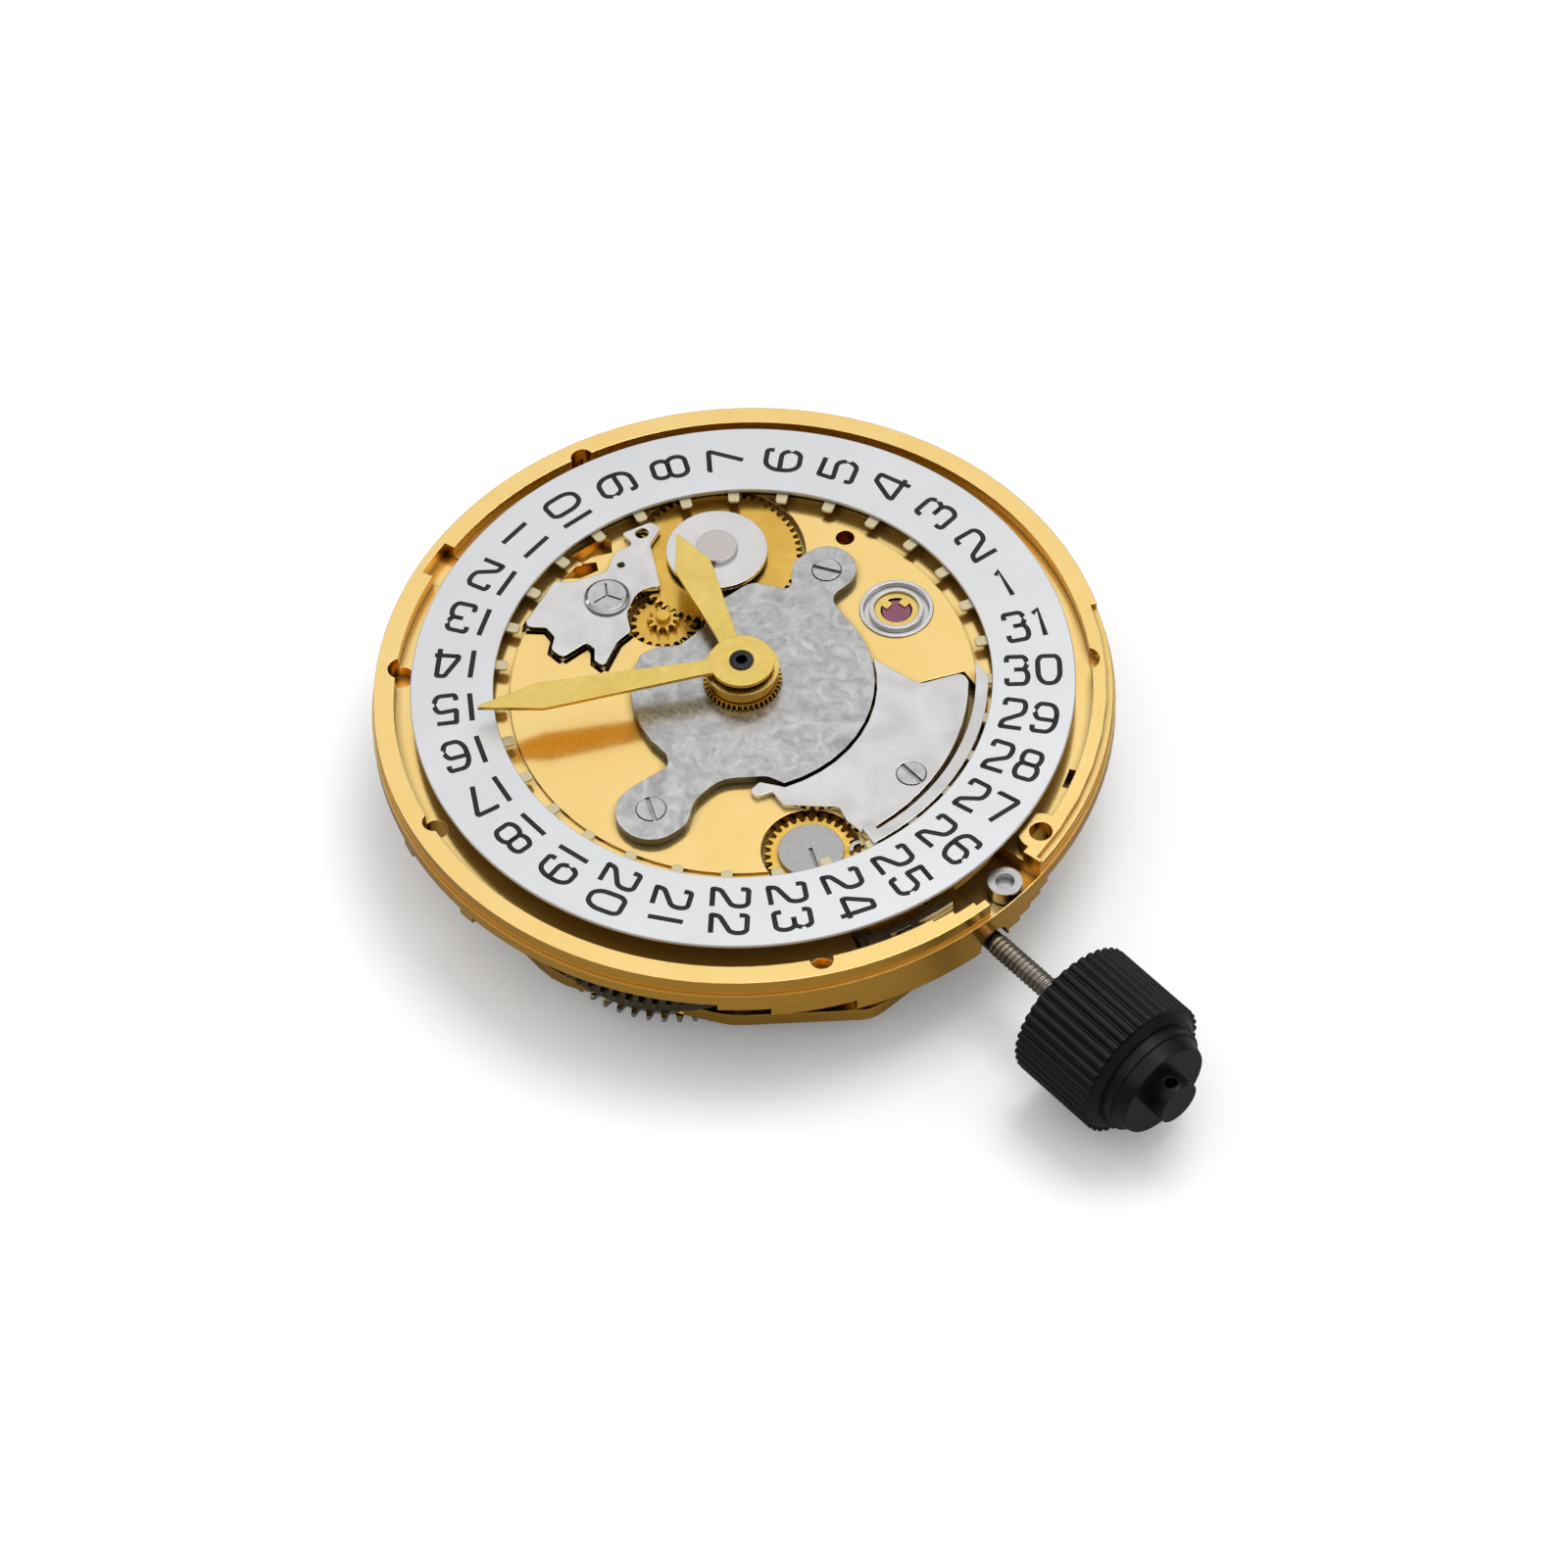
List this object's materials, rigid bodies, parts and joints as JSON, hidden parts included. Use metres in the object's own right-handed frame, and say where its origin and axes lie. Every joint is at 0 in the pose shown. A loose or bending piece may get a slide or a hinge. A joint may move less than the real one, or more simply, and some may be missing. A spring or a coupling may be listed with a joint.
{
  "type": "automatic watch movement",
  "caption": "Round self-winding calendar watch movement, dial side up, with date ring, two gilt hands, open calendar work and a ribbed knob on a long winding stem.",
  "frame": {"origin": "centre axis at the dial seat, the flat front of the mainplate's rim", "axes": "+X along the winding stem away from the centre, +Y towards twelve o'clock, +Z out of the dial side"},
  "size_m": [0.0351, 0.026, 0.0067],
  "materials": {
    "gilt_brass": "gilt brass, fine matt grain",
    "pale_gilt": "pale gilt, lightly brushed",
    "ring_paint": "light silver satin paint with dark numerals",
    "grey_steel": "grey, matt, slightly mottled",
    "polished_steel": "polished nickel or steel",
    "dark_steel": "dark drawn steel",
    "ruby": "polished synthetic ruby",
    "black_plastic": "black, ribbed"
  },
  "bodies": {
    "frame": {"mainplate": "gilt_brass", "centre_cover_plate": "grey_steel", "centre_cover_screws": "polished_steel", "calendar_plate": "polished_steel", "calendar_plate_screw": "polished_steel", "date_wheel_cover": "polished_steel", "date_wheel_cover_screw": "polished_steel", "shock_block": "polished_steel", "shock_spring": "pale_gilt", "shock_jewel": "ruby", "corrector_spring": "grey_steel", "lever_spring": "polished_steel", "pallet_bridge": "gilt_brass", "balance_cock": "gilt_brass", "barrel_bridge": "gilt_brass", "train_bridge": "gilt_brass", "bridge_screws": "polished_steel", "automatic_bridge": "gilt_brass", "rotor_bearing": "grey_steel", "jewels": "ruby"},
    "minute_group": {"centre_wheel": "gilt_brass", "cannon_pinion": "dark_steel", "minute_hand": "pale_gilt"},
    "hour_group": {"hour_wheel": "gilt_brass", "hour_hand": "pale_gilt"},
    "minute_wheel": {"minute_wheel": "gilt_brass"},
    "setting_wheel": {"setting_wheel": "gilt_brass"},
    "intermediate_wheel": {"intermediate_date_wheel": "gilt_brass"},
    "date_wheel": {"date_wheel": "gilt_brass", "date_wheel_disc": "polished_steel"},
    "date_ring": {"date_ring": "ring_paint"},
    "corrector_wheel": {"corrector_wheel": "gilt_brass"},
    "barrel": {"barrel": "gilt_brass", "barrel_cover": "gilt_brass", "mainspring": "grey_steel"},
    "third_wheel": {"third_wheel": "gilt_brass"},
    "fourth_wheel": {"fourth_wheel": "gilt_brass"},
    "escape_wheel": {"escape_wheel": "polished_steel"},
    "pallet_fork": {"pallet_fork": "polished_steel"},
    "balance": {"balance_wheel": "pale_gilt", "hairspring": "grey_steel"},
    "winding_pinion": {"winding_pinion": "grey_steel"},
    "stem": {"stem": "dark_steel", "knob": "black_plastic"},
    "sliding_pinion": {"sliding_pinion": "grey_steel"},
    "setting_lever": {"setting_lever": "grey_steel"},
    "yoke": {"yoke": "grey_steel"},
    "crown": {"winding_face_gear": "grey_steel", "crown_wheel": "polished_steel", "crown_wheel_screw": "polished_steel"},
    "ratchet": {"ratchet_wheel": "polished_steel", "barrel_arbor": "grey_steel"},
    "click": {"click": "grey_steel"},
    "rotor": {"rotor": "polished_steel", "rotor_gear": "grey_steel", "rotor_bearing_inner": "grey_steel", "rotor_screw": "polished_steel"},
    "reversing_wheel": {"reversing_wheel": "grey_steel"},
    "reduction_wheel": {"reduction_wheel": "gilt_brass"}
  },
  "joints": [
    {"name": "minute_turn", "type": "hinge", "parent": "frame", "child": "minute_group", "pos_m": [0, 0, 0], "axis": [0, 0, 1], "continuous": true},
    {"name": "hour_turn", "type": "hinge", "parent": "frame", "child": "hour_group", "pos_m": [0, 0, 0], "axis": [0, 0, 1], "continuous": true},
    {"name": "minute_wheel_turn", "type": "hinge", "parent": "frame", "child": "minute_wheel", "pos_m": [0.00368, 0.00078, -0.0008], "axis": [0, 0, 1], "continuous": true},
    {"name": "setting_wheel_turn", "type": "hinge", "parent": "frame", "child": "setting_wheel", "pos_m": [0.00712, 0.00005, -0.0008], "axis": [0, 0, 1], "continuous": true},
    {"name": "intermediate_turn", "type": "hinge", "parent": "frame", "child": "intermediate_wheel", "pos_m": [-0.0043, 0, -0.0005], "axis": [0, 0, 1], "continuous": true},
    {"name": "date_wheel_turn", "type": "hinge", "parent": "frame", "child": "date_wheel", "pos_m": [-0.0052, 0.0033, -0.0003], "axis": [0, 0, 1], "continuous": true},
    {"name": "barrel_turn", "type": "hinge", "parent": "frame", "child": "barrel", "pos_m": [0.00342, -0.00605, -0.0023], "axis": [0, 0, 1], "continuous": true},
    {"name": "third_turn", "type": "hinge", "parent": "frame", "child": "third_wheel", "pos_m": [-0.004, 0.0007, -0.0023], "axis": [0, 0, 1], "continuous": true},
    {"name": "fourth_turn", "type": "hinge", "parent": "frame", "child": "fourth_wheel", "pos_m": [-0.0065, 0.0033, -0.0023], "axis": [0, 0, 1], "continuous": true},
    {"name": "escape_turn", "type": "hinge", "parent": "frame", "child": "escape_wheel", "pos_m": [-0.0036, 0.0046, -0.0023], "axis": [0, 0, 1], "continuous": true},
    {"name": "date_ring_turn", "type": "hinge", "parent": "frame", "child": "date_ring", "pos_m": [0, 0, 0], "axis": [0, 0, 1], "continuous": true},
    {"name": "corrector_turn", "type": "hinge", "parent": "frame", "child": "corrector_wheel", "pos_m": [0.00695, -0.00297, -0.0004], "axis": [0, 0, 1], "continuous": true},
    {"name": "pallet_swing", "type": "hinge", "parent": "frame", "child": "pallet_fork", "pos_m": [-0.00144, 0.0054, -0.0023], "axis": [0, 0, 1], "range_deg": [-5, 5]},
    {"name": "balance_swing", "type": "hinge", "parent": "frame", "child": "balance", "pos_m": [0.001, 0.0063, -0.0031], "axis": [0, 0, 1], "range_deg": [-20, 200]},
    {"name": "winding_turn", "type": "hinge", "parent": "frame", "child": "winding_pinion", "pos_m": [0.01025, 0, -0.00215], "axis": [1, 0, 0], "continuous": true},
    {"name": "stem_pull", "type": "slide", "parent": "winding_pinion", "child": "stem", "axis": [1, 0, 0], "range_m": [0, 0.0005]},
    {"name": "sliding_pinion_shift", "type": "slide", "parent": "winding_pinion", "child": "sliding_pinion", "axis": [1, 0, 0], "range_m": [-0.0004, 0]},
    {"name": "setting_lever_turn", "type": "hinge", "parent": "frame", "child": "setting_lever", "pos_m": [0.01224, 0.00115, -0.0015], "axis": [0, 0, 1], "range_deg": [0, 42.12]},
    {"name": "yoke_turn", "type": "hinge", "parent": "frame", "child": "yoke", "pos_m": [0.008, 0.003, -0.0017], "axis": [0, 0, 1], "range_deg": [-9.77, 0]},
    {"name": "crown_turn", "type": "hinge", "parent": "frame", "child": "crown", "pos_m": [0.00795, 0, -0.0039], "axis": [0, 0, 1], "continuous": true},
    {"name": "ratchet_turn", "type": "hinge", "parent": "frame", "child": "ratchet", "pos_m": [0.00342, -0.00605, -0.004], "axis": [0, 0, 1], "continuous": true},
    {"name": "click_swing", "type": "hinge", "parent": "frame", "child": "click", "pos_m": [-0.00021, -0.0014, -0.004], "axis": [0, 0, 1], "range_deg": [-12, 0], "stiffness_Nm_per_rad": 0.0000001},
    {"name": "rotor_turn", "type": "hinge", "parent": "frame", "child": "rotor", "pos_m": [0, 0, -0.0049], "axis": [0, 0, 1], "continuous": true},
    {"name": "reversing_turn", "type": "hinge", "parent": "frame", "child": "reversing_wheel", "pos_m": [-0.00317, -0.00148, -0.0043], "axis": [0, 0, 1], "continuous": true},
    {"name": "reduction_turn", "type": "hinge", "parent": "frame", "child": "reduction_wheel", "pos_m": [-0.00236, -0.00565, -0.0043], "axis": [0, 0, 1], "continuous": true}
  ],
  "couplings": [
    {"joint": "hour_turn", "follows": "minute_turn", "ratio": 0.083333},
    {"joint": "minute_wheel_turn", "follows": "minute_turn", "ratio": -0.5},
    {"joint": "setting_wheel_turn", "follows": "minute_turn", "ratio": 1.25},
    {"joint": "intermediate_turn", "follows": "minute_turn", "ratio": -0.25},
    {"joint": "date_wheel_turn", "follows": "minute_turn", "ratio": 0.041667},
    {"joint": "barrel_turn", "follows": "minute_turn", "ratio": -0.23684},
    {"joint": "third_turn", "follows": "minute_turn", "ratio": -8},
    {"joint": "fourth_turn", "follows": "minute_turn", "ratio": 60},
    {"joint": "escape_turn", "follows": "minute_turn", "ratio": -720},
    {"joint": "sliding_pinion_shift", "follows": "stem_pull", "ratio": -0.8},
    {"joint": "setting_lever_turn", "follows": "stem_pull", "rad_per_m": 1468.7},
    {"joint": "yoke_turn", "follows": "stem_pull", "rad_per_m": -340.43},
    {"joint": "crown_turn", "follows": "winding_turn", "ratio": 0.45714},
    {"joint": "ratchet_turn", "follows": "winding_turn", "ratio": -0.26466},
    {"joint": "reversing_turn", "follows": "rotor_turn", "ratio": -0.75},
    {"joint": "reduction_turn", "follows": "rotor_turn", "ratio": 0.66667}
  ]
}
